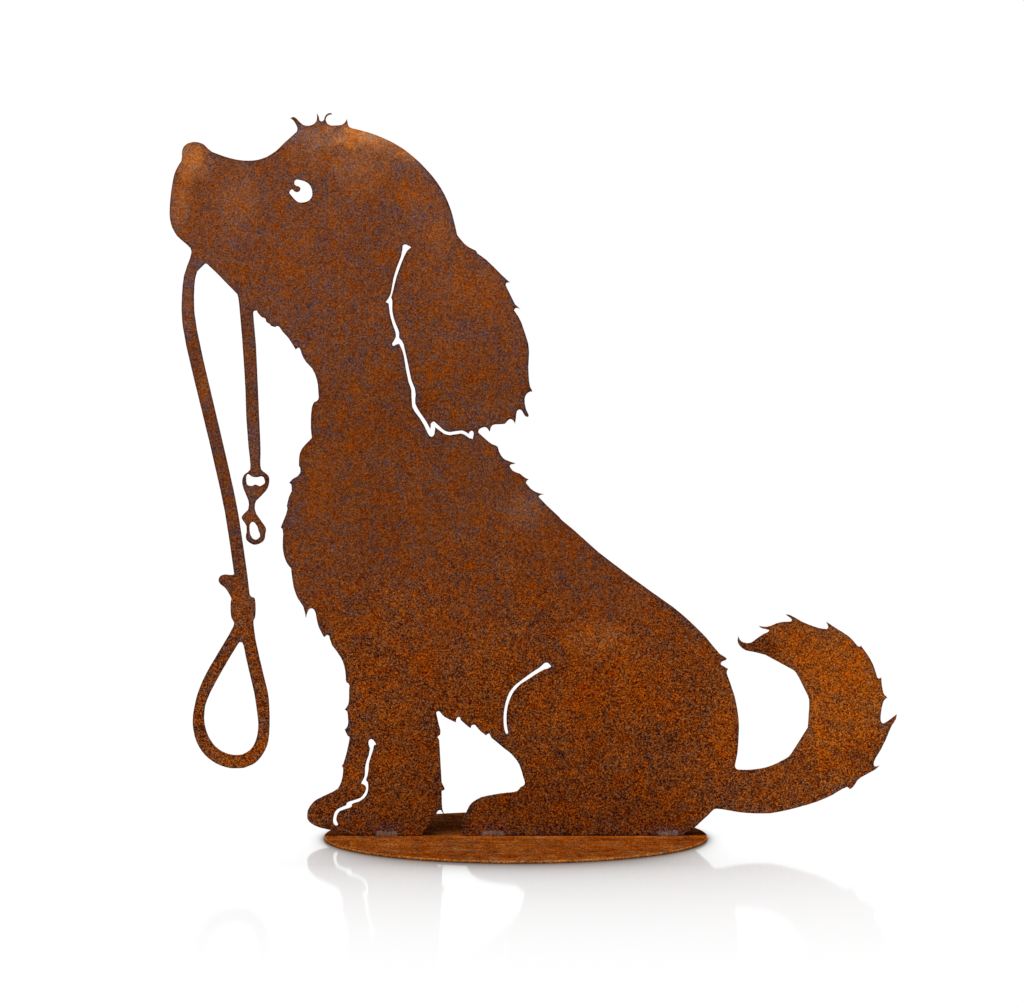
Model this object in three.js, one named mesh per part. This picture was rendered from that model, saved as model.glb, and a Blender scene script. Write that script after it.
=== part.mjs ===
// Sitting puppy with its lead in its mouth: one flat steel cut-out standing on a round steel plate.
// Millimetres, +Z up. X runs from the nose side to the tail side, Y away from the viewer.
// Origin: centre of the round plate's underside. The cut-out stands in the plane Y = 0.
import * as THREE from "three";
import { mergeVertices } from "three/addons/utils/BufferGeometryUtils.js";

const SHEET = 2; // steel sheet the dog is cut from
const BASE_RADIUS = 132;
const BASE_THICK = 2;
const BASE_EDGE = 0.3; // small chamfer round both rims of the base
const BASE_SIDES = 120;
const GAP = 0.3; // clearance between bodies that only touch
const FOOT = BASE_THICK + GAP; // height the cut-out stands at
const FACET_SAG = 0.05; // largest distance between a smooth edge and its facets

const WELD_LEG = 4.6; // how far a weld bead reaches up the sheet and out over the base
const WELD_SWELL = 1.15; // how much the bead's face bulges past a straight slope
const WELD_RINGS = 14;
const WELD_STEPS = 6;
const WELDS = [
  { name: "front_paw_weld", from: -97, to: -80.5 },
  { name: "hind_foot_weld", from: -24.5, to: -7 },
  { name: "rump_weld", from: 97, to: 113 },
];

// Walks along an outline. Each run is one smooth stretch from where the pen is, through the given
// [x, z] points, so the outline has a corner only where one run ends and the next begins.
function pen(path, start) {
  let here = start;
  path.moveTo(...start);
  const draw = {
    run(...points) {
      const knots = [here, ...points].map(([x, z]) => new THREE.Vector3(x, z, 0));
      const curve = new THREE.CatmullRomCurve3(knots, false, "centripetal");
      const spans = knots.length - 1;
      for (let i = 0; i < spans; i++) {
        const turn = curve.getTangent((i + 0.02) / spans).angleTo(curve.getTangent((i + 0.98) / spans));
        const reach = knots[i].distanceTo(knots[i + 1]);
        const steps = Math.max(1, Math.ceil(Math.sqrt((reach * turn) / (8 * FACET_SAG))));
        for (let k = 1; k <= steps; k++) {
          const p = curve.getPoint((i + k / steps) / spans);
          path.lineTo(p.x, p.y);
        }
      }
      here = points[points.length - 1];
      return draw;
    },
    line(...points) {
      for (const [x, z] of points) path.lineTo(x, z);
      here = points[points.length - 1];
      return draw;
    },
  };
  return draw;
}

function dogOutline() {
  const shape = new THREE.Shape();
  const draw = pen(shape, [-229, 467]);
  drawMuzzleAndLongStrand(draw);
  drawShortStrandAndSnapHook(draw);
  drawThroatAndChest(draw);
  drawFrontLeg(draw);
  drawBellyAndHindFoot(draw);
  drawTail(draw);
  drawBack(draw);
  drawEar(draw);
  drawHead(draw);
  shape.holes.push(handleLoop(), swivelRing(), snapHook(), eye(), earSlit(), hipSlit(), pawSlit());
  return shape;
}

// Down the front of the muzzle, then the long strand of the lead with its handle loop and back up.
function drawMuzzleAndLongStrand(draw) {
  draw
    .run([-231.6, 463], [-234, 457.2], [-237.1, 431], [-235.3, 421.5], [-232, 415.8])
    .run([-228.8, 412.8], [-222.9, 407.4], [-222.2, 404.6])
    .run([-223.3, 400.3], [-227.4, 388.5], [-229.1, 364], [-228.3, 353.5])
    .run([-225.9, 340], [-210.5, 275])
    .run([-199.8, 225.8], [-193.6, 183]);
  // loose end of the strap above its keeper
  draw
    .run([-195.5, 182.6], [-199, 183], [-202, 182.5], [-203.9, 180.8], [-204.3, 178.3], [-202.9, 176])
    .run([-200.5, 174.2], [-198.3, 171.6], [-195.5, 166.3])
    .run([-196.1, 163.5], [-195.6, 153.1], [-193.7, 149.5], [-194.3, 147])
    .run([-197.5, 140.9], [-210, 120], [-215.7, 109], [-219.9, 97.5], [-222.2, 86]);
  // round the bottom of the handle loop
  draw
    .run([-222.4, 78.5], [-219.9, 67.3], [-214.2, 58.2], [-206, 51.9], [-196, 48.7], [-187, 49])
    .run([-179.3, 52.4], [-173.6, 59.2], [-170.2, 67.5], [-169.8, 97], [-173, 112.2])
    .run([-178.8, 138], [-180.2, 149.5])
    .run([-180, 151.5], [-179.1, 152.9], [-179.5, 166.8], [-181, 167.3])
    .run([-182.5, 168.5], [-183.2, 173], [-184.2, 182], [-189.6, 220])
    .run([-193.3, 240], [-213.9, 330])
    .run([-219.9, 362], [-219.6, 385.5], [-218.1, 391.4]);
}

// The gap under the chin, then the short strand with its swivel ring and snap hook.
function drawShortStrandAndSnapHook(draw) {
  draw
    .line([-213.2, 396.3])
    .run([-212.2, 396.8], [-211.2, 396.3])
    .line([-204.9, 390.3], [-191.8, 376.8])
    .run([-190.8, 375.7], [-188.7, 358], [-185.6, 312], [-184.9, 290])
    .run([-183.5, 271], [-182.2, 258.5], [-182.4, 255.2]);
  draw
    .run([-184, 253.6], [-186.2, 252.1], [-187.7, 249], [-187.8, 245], [-183.7, 234])
    .run([-183.3, 231.5], [-183.9, 227.6])
    .run([-188.2, 223], [-188.2, 221.4], [-186, 218.1], [-185, 216.2])
    .run([-184.9, 212.6], [-185.5, 209.6], [-184.9, 206.5], [-179.8, 203.3], [-176.5, 203.8])
    .run([-173.8, 205.4], [-172.3, 207.6], [-171.9, 211])
    .run([-171.3, 213.8], [-172.2, 216.3], [-178, 224.6], [-179.1, 228.5])
    .run([-178.8, 232], [-178, 233.7])
    .run([-171.2, 240.8], [-169.6, 244], [-169, 248.6], [-169.7, 251], [-172.2, 253.3])
    .run([-174.6, 255.4], [-175, 270], [-177.9, 340])
    .run([-179.8, 362.7])
    .run([-179.5, 364], [-177.5, 364.5], [-177.1, 363.5]);
}

// Ragged fur from the jaw down the throat and the breast.
function drawThroatAndChest(draw) {
  draw
    .run([-174.2, 360.1], [-172.5, 359.5])
    .run([-171.5, 358.8], [-171.1, 357], [-168.6, 355.3])
    .run([-167.9, 354.2], [-164.9, 353.1])
    .run([-163.8, 353.8], [-162.3, 353.5], [-160, 350.2], [-155.8, 345.6], [-150.8, 337.5])
    .run([-149.7, 338.8], [-148.4, 338.8], [-146.4, 333.6], [-143.8, 329.2], [-139.8, 325])
    .run([-137.6, 320.6], [-135.8, 313.5], [-135.3, 304.3])
    .run([-136.2, 302.8], [-138.6, 301.6])
    .run([-140, 298], [-140.7, 284.5], [-140, 277.1]);
  draw
    .run([-146.7, 269.8], [-148.6, 265], [-148.9, 257.8])
    .run([-148, 256.4], [-148, 253.4])
    .run([-149.8, 250.8], [-153, 249], [-155.8, 246])
    .run([-154.3, 245.1], [-153.9, 240.4])
    .run([-155.8, 236.4], [-157.3, 230.1])
    .run([-156.9, 228], [-161.5, 215.3])
    .run([-160.2, 214], [-160.2, 202], [-159.3, 196], [-157, 190.2], [-154.5, 187.2])
    .run([-152.8, 174.5], [-150, 166.6], [-146.2, 160.8], [-144.3, 152.5])
    .run([-142.3, 158.3], [-140.6, 159.4], [-138.9, 158.7], [-137.6, 156])
    .run([-136.7, 150.6]);
}

// Front of the near leg, the paw that hangs over the rim, and up the back of the leg.
function drawFrontLeg(draw) {
  draw
    .run([-135.3, 146], [-131.9, 139.4])
    .run([-129.5, 141], [-128.4, 140.4], [-127.8, 138], [-126.4, 133.9])
    .run([-120.4, 125.6], [-118, 119.5], [-117, 112.5], [-117, 109.5])
    .run([-116.4, 108.3], [-115, 107.3], [-114.4, 106])
    .run([-114.7, 104.5], [-115.3, 93.4], [-117.8, 89.3])
    .run([-116.2, 88.3], [-115.6, 84], [-115.4, 80.4], [-116.2, 77.5], [-117.8, 75.6])
    .run([-115.9, 71.5], [-114.5, 70.4])
    .run([-114.6, 68.6], [-118.8, 52], [-119.9, 50.5])
    .run([-119, 48.8], [-119.8, 41.2], [-121.3, 37], [-122.5, 34.8]);
  draw
    .run([-126, 32.6], [-137, 27.3], [-141, 23.6], [-143.5, 19], [-143.8, 14.4])
    .run([-142.4, 11.8], [-139, 9.3], [-134, 7.3], [-126.4, 5.7], [-121.5, 5], [-114.4, FOOT])
    .line([-64.5, FOOT])
    .run([-62.8, 5.2], [-60.2, 8.4], [-56.8, 14.9], [-54.4, 17.3])
    .run([-54, 18.5], [-52.8, 19.6], [-51.6, 19.7])
    .run([-50.4, 17.8], [-49.1, 16.8])
    .run([-50.4, 20.4], [-50.9, 33.1])
    .run([-49.8, 33.4], [-48.7, 34.2])
    .run([-49.3, 36], [-50.9, 39.2], [-52.5, 68.1], [-53.8, 70.3])
    .run([-51.9, 72.2])
    .run([-51.7, 75], [-52.8, 78.8], [-54.6, 87.3]);
}

// Fringe under the belly, the hollow behind it, the hind foot and the line it stands on.
function drawBellyAndHindFoot(draw) {
  draw
    .run([-53.9, 88], [-52.6, 88.1], [-51.5, 86.8])
    .run([-49, 84.3], [-41.1, 80.4])
    .run([-40.8, 82.7], [-40, 84], [-38.5, 84.2])
    .run([-37.9, 82.2], [-36, 80.5], [-33.4, 78], [-30.9, 76.3])
    .run([-30.5, 78], [-29.4, 78.8], [-28.1, 78.9])
    .run([-24.2, 74.3], [-20.3, 71.4])
    .run([-19.6, 72.3], [-18.3, 72.9])
    .run([-16.8, 69.9])
    .run([-7.7, 62.3], [-3.2, 58.7], [2.3, 51.5], [5, 42.9])
    .run([6, 39.8], [6, 37.7], [4.9, 36.5], [3.1, 35.7], [2.4, 34.5], [1, 33.1])
    .run([-1.5, 32.4], [-8.5, 31.7], [-24, 28.7], [-29.6, 25.5])
    .run([-32.2, 22.6], [-34.6, 17.4], [-37, 12.2], [-37.8, 7.4], [-37.1, 4.4], [-35, FOOT])
    .line([114.8, FOOT]);
}

// Under the rump, along the underside of the tail, round its tufts to the tip, and back inside the curl.
function drawTail(draw) {
  draw
    .run([118, 4.6], [122.4, 6.8], [127.3, 11.4], [133, 16.5])
    .run([136.4, 20.1], [138.8, 20.6], [154, 18.2], [164, 17.4], [175, 17.4])
    .run([186, 19.4], [208, 25.7], [218, 30.1])
    .run([224.5, 34.1], [228.2, 35.8])
    .run([229.2, 35.2], [229.9, 34])
    .run([231.6, 35], [233.8, 37.6], [235.2, 40.2])
    .run([237.6, 42.3], [247.6, 47.8], [250.8, 50.9])
    .run([248.5, 50.1], [246.8, 50.4])
    .run([246.7, 53.2], [251.4, 61.6], [254.8, 68.5])
    .run([259, 78.5], [261.6, 82.5], [262.4, 86.5]);
  draw
    .run([256.6, 82], [253.6, 80.1])
    .run([252.3, 80.2], [251.3, 82.2], [253.3, 95.4], [255.8, 98])
    .run([253.5, 100.2], [251.8, 108.5], [251.6, 112])
    .run([250.6, 111.2], [249.2, 111.3], [248, 114.6], [245.8, 120.9], [242.8, 126.4], [240, 130.4])
    .run([237.3, 134])
    .run([236.4, 132.9], [234.8, 134])
    .run([231.9, 137.5], [228, 141], [221.5, 145.1], [213.2, 150.6])
    .run([214.8, 146.3], [213.8, 145.2])
    .run([208, 146.1], [196.6, 150.5], [188.6, 155], [185.3, 155.3]);
  draw
    .run([189.8, 151.6], [189.2, 150.4])
    .run([184.5, 150.3], [179.4, 149.3], [175, 147.4], [171.5, 146.8], [167, 147.4])
    .run([168.6, 145.9], [174.2, 144.5])
    .run([173.6, 143.3], [170.3, 141.8], [165.2, 138.3], [162.2, 136.1], [159.3, 135.5], [156.4, 136.1])
    .run([154.4, 137.6], [153.1, 140.3])
    .run([152.4, 137.5], [153, 135.1], [155.2, 132.3], [158.4, 130.3], [164.5, 129.1], [171.6, 127.3])
    .run([190.8, 116.8])
    .run([192.7, 115], [201, 98.8])
    .run([201.8, 95.8], [200.9, 77])
    .run([190.2, 60])
    .run([187.8, 56.8], [182.6, 53.9], [176, 50.7], [169, 48.8], [160, 47.8], [153, 48]);
}

// Up the rump from the root of the tail and along the straight back to the ragged shoulder.
function drawBack(draw) {
  draw
    .run([151.6, 48.8], [151.1, 51], [152.7, 58.6], [153.8, 76])
    .run([153.4, 84], [150.7, 98.8], [145.5, 113.9])
    .run([145.3, 115.8], [146.2, 117.7])
    .run([141.4, 120.5])
    .run([141.1, 121.5], [142.3, 122.8], [145.2, 124.1], [144.8, 125.3], [142.5, 126.8])
    .run([140.2, 128.3], [131, 139.4], [117.5, 152.7], [108.3, 160.4])
    .run([80, 180.7], [57, 198.3])
    .run([40.6, 213.1], [31.1, 221.1])
    .line([30, 222.6], [22, 230.1], [15.9, 236.3])
    .run([16.3, 237.3], [20, 238.3])
    .run([17.4, 238.7], [13.4, 240.1], [10.2, 242.4], [7.1, 246.1])
    .run([7.6, 247.3], [9, 248.4])
    .run([6, 250], [3, 252.5])
    .run([-1.9, 254.5], [-4.1, 257.7])
    .run([-3, 258.8], [-1.4, 259], [0.1, 259.6])
    .run([-7, 262.1], [-9.3, 264.1], [-11.3, 267.7], [-12.2, 270.8])
    .run([-13.3, 271.8], [-16.4, 272.9], [-25.3, 280.5]);
}

// The locks that hang from the lower edge of the ear, then up its outer edge to the skull.
function drawEar(draw) {
  draw
    .run([-25.5, 281.8], [-24.6, 283.2], [-20.5, 284.3], [-17.8, 281])
    .run([-16.4, 285.2], [-13.8, 286.3], [-7.6, 286.6], [-5.6, 288.6])
    .run([-3.8, 290], [-2, 289.2], [-0.5, 286.6])
    .run([0.1, 289.4], [1, 295.3], [2.6, 296.5], [4.1, 295.8], [5.3, 293.6])
    .run([6.6, 291.9], [8, 291.4], [9.1, 292.2], [7.2, 296.8], [6.4, 300.5])
    .run([6.3, 304], [7.3, 306.9], [10.3, 308.9], [11.5, 308.5])
    .run([11.1, 310.3], [9.9, 312.5], [8.8, 326], [9.3, 336], [8.7, 342])
    .run([4.2, 355.9], [1.6, 361.1], [-1.1, 364.9])
    .run([-0.3, 366], [1.2, 366.3], [3.7, 365])
    .run([1.8, 367.1], [-0.3, 368.8])
    .run([-6.8, 382])
    .run([-6.3, 383.5], [-3.7, 383.9])
    .run([-9.4, 389], [-20, 399.5], [-26.2, 403.9])
    .run([-27.2, 405.8], [-28.4, 406.4])
    .run([-31.8, 408.1], [-35.4, 410.9], [-40, 416.6]);
}

// Over the skull, the wild locks on the crown, the stop and the nose.
function drawHead(draw) {
  draw
    .run([-43.3, 430.6], [-46.4, 439.5], [-51, 448.6], [-57, 457], [-65.5, 466.2])
    .run([-75, 474.3], [-86, 480.9], [-98, 486], [-109.5, 489.2])
    .run([-112.9, 490.1], [-114.5, 491.8], [-115.3, 496.5])
    .run([-116.7, 494], [-119, 492.1], [-126.5, 491.6])
    .run([-128.8, 492.8], [-129.9, 495.4])
    .run([-129.3, 497.2], [-127.6, 498.6], [-125.5, 498.9])
    .run([-126, 500], [-128.4, 499.8], [-130.5, 497.9], [-131.1, 495.6])
    .run([-132.7, 494.3], [-134.3, 495.3])
    .run([-134.6, 497.7], [-136.1, 500])
    .run([-136.3, 494.8], [-138.6, 492.4], [-142, 491.4], [-145.3, 492], [-148, 494.2])
    .run([-150.6, 496.9], [-152.4, 497.4], [-154.4, 496.4])
    .run([-152.2, 494.9], [-149.4, 489.6], [-149.9, 487.3])
    .run([-158.6, 479.5], [-164, 474.2], [-170, 470.3])
    .run([-176, 468.2], [-183, 467.5], [-191, 468.2], [-200, 470.6], [-207.8, 473.6])
    .run([-210.7, 475.9], [-213.2, 478.5], [-216.8, 480], [-220.8, 480.3], [-224.6, 479.3])
    .run([-227.2, 477.1], [-228.5, 473.6], [-228.5, 470.2], [-229, 467]);
}

function handleLoop() {
  const path = new THREE.Path();
  pen(path, [-190.1, 135.9])
    .run([-189, 136.1], [-187.9, 135.4], [-185.4, 124.4], [-179.9, 100.6])
    .run([-177.4, 82], [-177.4, 76.4], [-178.9, 68.4], [-182.6, 61.9], [-188.2, 58.5])
    .run([-194, 58.1], [-202, 60.5], [-208.4, 66], [-212.6, 74], [-214.3, 83], [-213.6, 92])
    .run([-210.2, 100.9], [-195.9, 126.6], [-190.1, 135.9]);
  return path;
}

function swivelRing() {
  const path = new THREE.Path();
  pen(path, [-184.2, 251.8])
    .run([-183.4, 252], [-181.6, 250.6], [-179.4, 249.9], [-176.6, 250], [-174.8, 250.5], [-173.2, 250])
    .run([-172.2, 246.5], [-173.4, 245], [-175.6, 243.8])
    .run([-179, 245.1], [-180.6, 244.2], [-182.6, 244.1])
    .run([-184.3, 245], [-184.8, 250.4], [-184.2, 251.8]);
  return path;
}

function snapHook() {
  const path = new THREE.Path();
  pen(path, [-181.4, 218.8])
    .run([-180.2, 219.1], [-177.4, 215.6], [-176.7, 213], [-175.9, 211.2], [-175.7, 209])
    .run([-178, 207.1], [-179.6, 207.2], [-181, 208.2])
    .run([-182.3, 210.8], [-182.5, 217.3], [-181.4, 218.8]);
  return path;
}

// A hooked crescent: the uncut part inside it is the pupil.
function eye() {
  const path = new THREE.Path();
  pen(path, [-151.3, 453.4])
    .run([-150, 454.3], [-143.6, 452.7], [-141, 450.6], [-139.5, 446.8], [-139.4, 443.3])
    .run([-141.4, 440.4], [-144.8, 439], [-148.4, 439], [-150.8, 440.5], [-154.9, 445.4])
    .run([-154.1, 447], [-153, 447.7], [-151.7, 446.4])
    .run([-149.9, 445.7], [-148.2, 446.2], [-147.2, 447.8], [-147.9, 449.6], [-150.2, 450.3])
    .run([-151.3, 451.3], [-151.3, 453.4]);
  return path;
}

// The long cut that frees the front edge of the hanging ear from the cheek, with small barbs of fur.
function earSlit() {
  const path = new THREE.Path();
  pen(path, [-77.4, 407.3])
    .run([-77.2, 409.2], [-75.3, 409.9], [-71.7, 408])
    .run([-74.4, 405.8], [-82, 387.2], [-84, 378.8], [-85.5, 373.5])
    .run([-84.7, 371.4], [-84.8, 366], [-83.9, 360], [-82, 354.5], [-80.2, 350.2], [-80.1, 345.9])
    .run([-78.8, 344.6], [-77, 341.4], [-71.9, 317.6], [-69.4, 311.1])
    .run([-68.8, 307], [-69, 300.6], [-61, 287.4], [-58.7, 283])
    .run([-58.1, 284.8], [-58.2, 286.5], [-56.3, 288.3], [-55, 287.3], [-52, 284.6])
    .run([-48.9, 282], [-44.8, 281], [-36.8, 282.1], [-32.3, 279.8])
    .run([-31.2, 281.4], [-30, 281.8], [-29, 280.8], [-29.6, 276.4])
    .run([-31.8, 277], [-35, 279.3], [-37.8, 280.2], [-45.2, 279], [-49.2, 280])
    .run([-55.4, 284.7])
    .run([-56, 279.6], [-57.3, 278.1], [-58.9, 278.4], [-62.4, 285])
    .run([-65.2, 290], [-70.8, 298.4], [-71.4, 309.8], [-73.4, 315.7])
    .run([-75.2, 324.6], [-76.6, 333.6], [-78.2, 338.6], [-79.9, 342])
    .run([-82.3, 341.2], [-84, 340.4], [-84.7, 341.8])
    .run([-82.1, 346.3], [-82.3, 349.8], [-84.4, 355.9], [-86.2, 363], [-86.9, 369.4])
    .run([-89, 370.6])
    .run([-87, 373], [-85.4, 376.8], [-83.8, 385.8], [-81.4, 394], [-78.6, 401.2], [-77.4, 407.3]);
  return path;
}

// The arc that marks the thigh.
function hipSlit() {
  const path = new THREE.Path();
  pen(path, [-6.6, 72.9])
    .run([-7.6, 75.5], [-8.1, 87], [-4.4, 101], [-0.2, 106.4])
    .run([10.4, 114.5], [16.6, 118.6], [19.6, 121.4])
    .run([20.8, 121.9], [22.2, 121.7], [24.4, 119.3])
    .run([21.6, 117.8], [19.6, 117.4], [3.4, 107.3])
    .run([-1.2, 102.4], [-4.4, 96], [-6.2, 88.6], [-6.4, 79.8], [-5.4, 73.8])
    .run([-5.7, 72.8], [-6.6, 72.9]);
  return path;
}

// The cut between the near front leg and the far one, ending in the toe of the far paw.
function pawSlit() {
  const path = new THREE.Path();
  pen(path, [-124.4, 9.4])
    .run([-125.6, 11.2], [-124.6, 17.8], [-122.5, 20.4], [-116.7, 23.1])
    .run([-116.2, 24.5], [-114.6, 25.6], [-107, 28.1], [-104.8, 30.5])
    .run([-103.1, 33.6], [-103, 35.9], [-104.3, 37.3], [-106.4, 38.3])
    .run([-103.8, 43.6], [-103.6, 48.8], [-102.6, 53.6], [-101, 58], [-100.2, 62.6])
    .run([-101.2, 65.4], [-101.1, 67.6], [-99.7, 68.9], [-98.3, 68.5], [-96.1, 65.3])
    .run([-97.6, 64.8], [-98.3, 61.6], [-101.3, 52], [-101.5, 47.4], [-102.2, 43.6])
    .run([-103.2, 40.5], [-102, 39.1], [-102.2, 32], [-104.3, 28.4], [-108, 25.8])
    .run([-113, 23.9], [-113, 22.6], [-114.4, 21.5], [-121.4, 19.1], [-123.3, 16.2])
    .run([-123.8, 13], [-122.6, 10], [-123.2, 9.2], [-124.4, 9.4]);
  return path;
}

function dogGeometry() {
  const slab = new THREE.ExtrudeGeometry(dogOutline(), { depth: SHEET, bevelEnabled: false });
  slab.translate(0, 0, -SHEET / 2);
  slab.rotateX(Math.PI / 2);
  return closed(slab);
}

function baseGeometry() {
  const profile = [
    new THREE.Vector2(0, 0),
    new THREE.Vector2(BASE_RADIUS - BASE_EDGE, 0),
    new THREE.Vector2(BASE_RADIUS, BASE_EDGE),
    new THREE.Vector2(BASE_RADIUS, BASE_THICK - BASE_EDGE),
    new THREE.Vector2(BASE_RADIUS - BASE_EDGE, BASE_THICK),
    new THREE.Vector2(0, BASE_THICK),
  ];
  const disc = new THREE.LatheGeometry(profile, BASE_SIDES);
  disc.rotateX(Math.PI / 2);
  return closed(disc);
}

// A short run of weld metal in the corner between the sheet's front face and the base.
// Its cross-section has two flat legs and a bulging face, and both ends taper to a point.
function weldGeometry(from, to) {
  const backY = -SHEET / 2 - GAP;
  const positions = [from, backY, FOOT];
  const faces = [];
  const ring = WELD_STEPS + 2;
  for (let i = 1; i < WELD_RINGS; i++) {
    const t = i / WELD_RINGS;
    const leg = WELD_LEG * Math.pow(Math.sin(Math.PI * t), 0.45);
    const x = from + (to - from) * (0.5 - 0.5 * Math.cos(Math.PI * t));
    positions.push(x, backY, FOOT);
    for (let k = 0; k <= WELD_STEPS; k++) {
      const a = (Math.PI / 2) * (k / WELD_STEPS);
      const bulge = 1 + (WELD_SWELL - 1) * Math.sin(2 * a);
      const slope = 1 / (Math.cos(a) + Math.sin(a));
      const r = leg * slope * bulge;
      positions.push(x, backY - r * Math.cos(a), FOOT + r * Math.sin(a));
    }
  }
  positions.push(to, backY, FOOT);
  const last = positions.length / 3 - 1;
  for (let k = 0; k < ring; k++) {
    const next = (k + 1) % ring;
    faces.push(0, 1 + k, 1 + next);
    for (let i = 0; i < WELD_RINGS - 2; i++) {
      const a = 1 + i * ring + k;
      const b = 1 + i * ring + next;
      faces.push(a, b + ring, b, a, a + ring, b + ring);
    }
    faces.push(last, last - ring + next, last - ring + k);
  }
  const bead = new THREE.BufferGeometry();
  bead.setAttribute("position", new THREE.Float32BufferAttribute(positions, 3));
  bead.setIndex(faces);
  return closed(bead);
}

// One welded-up surface with shared corners and fresh normals, without slivers of zero area.
function closed(geometry) {
  geometry.deleteAttribute("normal");
  geometry.deleteAttribute("uv");
  const merged = mergeVertices(geometry, 1e-4);
  const index = merged.index;
  const kept = [];
  for (let i = 0; i < index.count; i += 3) {
    const a = index.getX(i);
    const b = index.getX(i + 1);
    const c = index.getX(i + 2);
    if (a !== b && b !== c && c !== a) kept.push(a, b, c);
  }
  merged.setIndex(kept);
  merged.computeVertexNormals();
  return merged;
}

function steel(color, roughness) {
  return new THREE.MeshStandardMaterial({ color, metalness: 0.3, roughness });
}

const group = new THREE.Group();

function add(name, geometry, material) {
  const mesh = new THREE.Mesh(geometry, material);
  mesh.name = name;
  group.add(mesh);
}

add("dog_plate", dogGeometry(), steel(0x7a4423, 0.9));
add("base_plate", baseGeometry(), steel(0x8a4a1c, 0.85));
for (const weld of WELDS) {
  add(weld.name, weldGeometry(weld.from, weld.to), steel(0x6e5148, 0.7));
}

export default group;
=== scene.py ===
"""A rusted sheet-steel puppy on a round base: its surfaces, its finish, the light and the camera."""

import math
import random

import bmesh
import bpy
import numpy as np
from bpy.props import (
    FloatProperty,
    FloatVectorProperty,
    IntProperty,
    PointerProperty,
)
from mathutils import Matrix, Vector


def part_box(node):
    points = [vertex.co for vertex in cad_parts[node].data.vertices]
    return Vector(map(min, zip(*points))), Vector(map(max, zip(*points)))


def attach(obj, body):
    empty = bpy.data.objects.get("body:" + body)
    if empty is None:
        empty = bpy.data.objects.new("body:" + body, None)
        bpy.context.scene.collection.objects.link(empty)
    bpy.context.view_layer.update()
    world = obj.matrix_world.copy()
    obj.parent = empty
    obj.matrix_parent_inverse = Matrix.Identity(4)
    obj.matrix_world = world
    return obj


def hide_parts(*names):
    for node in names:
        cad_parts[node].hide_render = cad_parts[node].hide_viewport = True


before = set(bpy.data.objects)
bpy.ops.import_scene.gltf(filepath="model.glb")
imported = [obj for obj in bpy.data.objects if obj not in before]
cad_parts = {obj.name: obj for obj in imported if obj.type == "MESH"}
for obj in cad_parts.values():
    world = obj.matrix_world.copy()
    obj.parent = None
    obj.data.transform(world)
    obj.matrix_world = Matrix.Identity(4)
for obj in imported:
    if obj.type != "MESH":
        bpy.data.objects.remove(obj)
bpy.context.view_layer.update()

bl_info = {
    "name": "Rusted Steel Puppy",
    "version": (1, 0, 0),
    "blender": (4, 5, 0),
    "location": "3D View > Sidebar > Puppy",
    "description": "Adds a cut-out steel puppy on a round base, rusted all over",
    "category": "Object",
}

MM = 0.001
MERGE = 0.001 * MM
FLAT_ANGLE = math.radians(0.1)
SMOOTH_ANGLE = math.radians(20)
FACE_ON = 0.9  # how squarely a face of a flat piece looks outward, at least
EDGE_ON = 0.1  # how squarely a wall of a flat piece does, at most
EYE_GAMMA = 2.2
EDGE_ATTRIBUTE = "edge_distance"
BEAD_POOLS = 6
BEAD_CLEARANCE = 0.15 * MM
CONTACT_COLOUR = (0.10, 0.06, 0.04, 1.0)
CONTACT_DEPTH = 0.9
WHITE = (1.0, 1.0, 1.0, 1.0)
POINTS_AT_ONCE = 2000

sheet_low, sheet_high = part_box("dog_plate")
base_low, base_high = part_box("base_plate")
WELD_NODES = ("front_paw_weld", "hind_foot_weld", "rump_weld")


def shade(red, green, blue):
    """A paint-chart colour, 0 to 255 a channel, as the linear values that a shader takes."""
    tones = (red / 255, green / 255, blue / 255)
    return tuple(t / 12.92 if t <= 0.04045 else ((t + 0.055) / 1.055) ** 2.4 for t in tones)


def length(name, default, description):
    """A length in metres that a user may change."""
    return FloatProperty(
        name=name,
        description=description,
        default=default,
        min=0.0,
        precision=5,
        unit="LENGTH",
        subtype="DISTANCE",
    )


def amount(name, default, description):
    """A plain number that a user may change."""
    return FloatProperty(name=name, description=description, default=default, min=0.0)


def colour(name, default, description):
    """A colour that a user may change."""
    return FloatVectorProperty(
        name=name,
        description=description,
        default=shade(*default),
        size=3,
        min=0.0,
        max=1.0,
        subtype="COLOR",
    )


class SheetSettings(bpy.types.PropertyGroup):
    """Sizes and colours of the cut sheet."""

    edge_rounding: length("Edge rounding", 0.35 * MM, "How far the cut edges are worn round")
    mesh_step: length("Mesh step", 2.0 * MM, "Spacing of the cuts that divide the two faces")
    relief: length("Relief", 0.08 * MM, "Depth of the uneven rusted skin")
    ragged: length("Ragged edge", 0.14 * MM, "Depth of the uneven torch cut")
    burnt_width: length("Burnt width", 1.5 * MM, "Width of the dark line along the cut edges")
    # Upper rust: rust on the head, made lighter and greyer as painted sheen from the light above.
    upper: colour("Upper rust and sheen", (112, 61, 35), "Rust on the head, lightened by painted sheen")
    middle: colour("Middle rust", (104, 53, 24), "Rust on the neck and chest")
    lower: colour("Lower rust", (106, 48, 9), "Rust on the haunch and legs")
    tail: colour("Tail rust", (133, 63, 8), "Rust on the tail")
    burnt: colour("Burnt edge", (58, 26, 16), "Dark line along the cut edges")
    cut_wall: colour("Cut wall", (150, 84, 34), "Rust in the thickness of the sheet")
    violet: colour("Violet scale", (76, 50, 52), "Dark mill scale under the rust")
    # Bright rust on the cut edges that face up is a painted highlight in a light rust tone.
    bright: colour("Edge highlight", (178, 98, 40), "Painted highlight on the cut edges that face up")


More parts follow.
